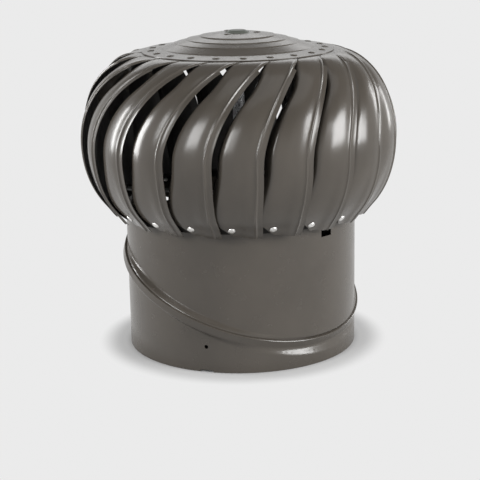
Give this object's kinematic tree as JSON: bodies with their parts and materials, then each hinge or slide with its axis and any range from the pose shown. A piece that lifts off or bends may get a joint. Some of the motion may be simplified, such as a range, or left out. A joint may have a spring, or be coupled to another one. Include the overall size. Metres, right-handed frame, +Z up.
{
  "type": "roof turbine ventilator",
  "caption": "Wind-driven roof ventilator: a globe of curved overlapping vanes spins on a shaft above a round throat whose oblique turning seam sets the roof pitch.",
  "frame": {"origin": "throat axis in the plane of the lower rim", "axes": "+Z up along the throat and rotor axis, -Y the pictured front, +X to its right"},
  "size_m": [0.4088, 0.4092, 0.4092],
  "materials": {
    "paint": "satin grey-brown baked paint on sheet steel",
    "rivet_aluminium": "bare blind rivets, slightly dulled",
    "zinc_steel": "zinc plated",
    "bearing_steel": "ground bright",
    "cap_plastic": "dark grey-green moulded cap"
  },
  "bodies": {
    "base": {"lower_throat": "paint"},
    "head": {"upper_throat": "paint", "support_strap": "zinc_steel", "strap_washer": "zinc_steel", "shaft": "bearing_steel", "shaft_nuts": "zinc_steel", "bearing_spacer": "bearing_steel", "inner_races": "bearing_steel"},
    "rotor": {"vane_01": "paint", "vane_02": "paint", "vane_03": "paint", "vane_04": "paint", "vane_05": "paint", "vane_06": "paint", "vane_07": "paint", "vane_08": "paint", "vane_09": "paint", "vane_10": "paint", "vane_11": "paint", "vane_12": "paint", "vane_13": "paint", "vane_14": "paint", "vane_15": "paint", "vane_16": "paint", "vane_17": "paint", "vane_18": "paint", "vane_19": "paint", "vane_20": "paint", "vane_21": "paint", "skirt_ring": "paint", "skirt_rivets": "rivet_aluminium", "rotor_spider": "zinc_steel", "spider_rivets": "rivet_aluminium", "top_plate": "paint", "plate_rivets": "paint", "upper_bearing_cup": "zinc_steel", "hub_rivets": "paint", "centre_cap": "cap_plastic", "outer_races": "bearing_steel", "ball_sets": "bearing_steel", "bearing_clips": "zinc_steel"}
  },
  "joints": [
    {"name": "throat_turn", "type": "hinge", "parent": "base", "child": "head", "pos_m": [0, 0, 0.09], "axis": [0.2706, -0.2706, 0.9239], "range_deg": [-180, 180]},
    {"name": "rotor_spin", "type": "hinge", "parent": "head", "child": "rotor", "pos_m": [0, 0, 0.3], "axis": [0, 0, 1], "continuous": true}
  ]
}
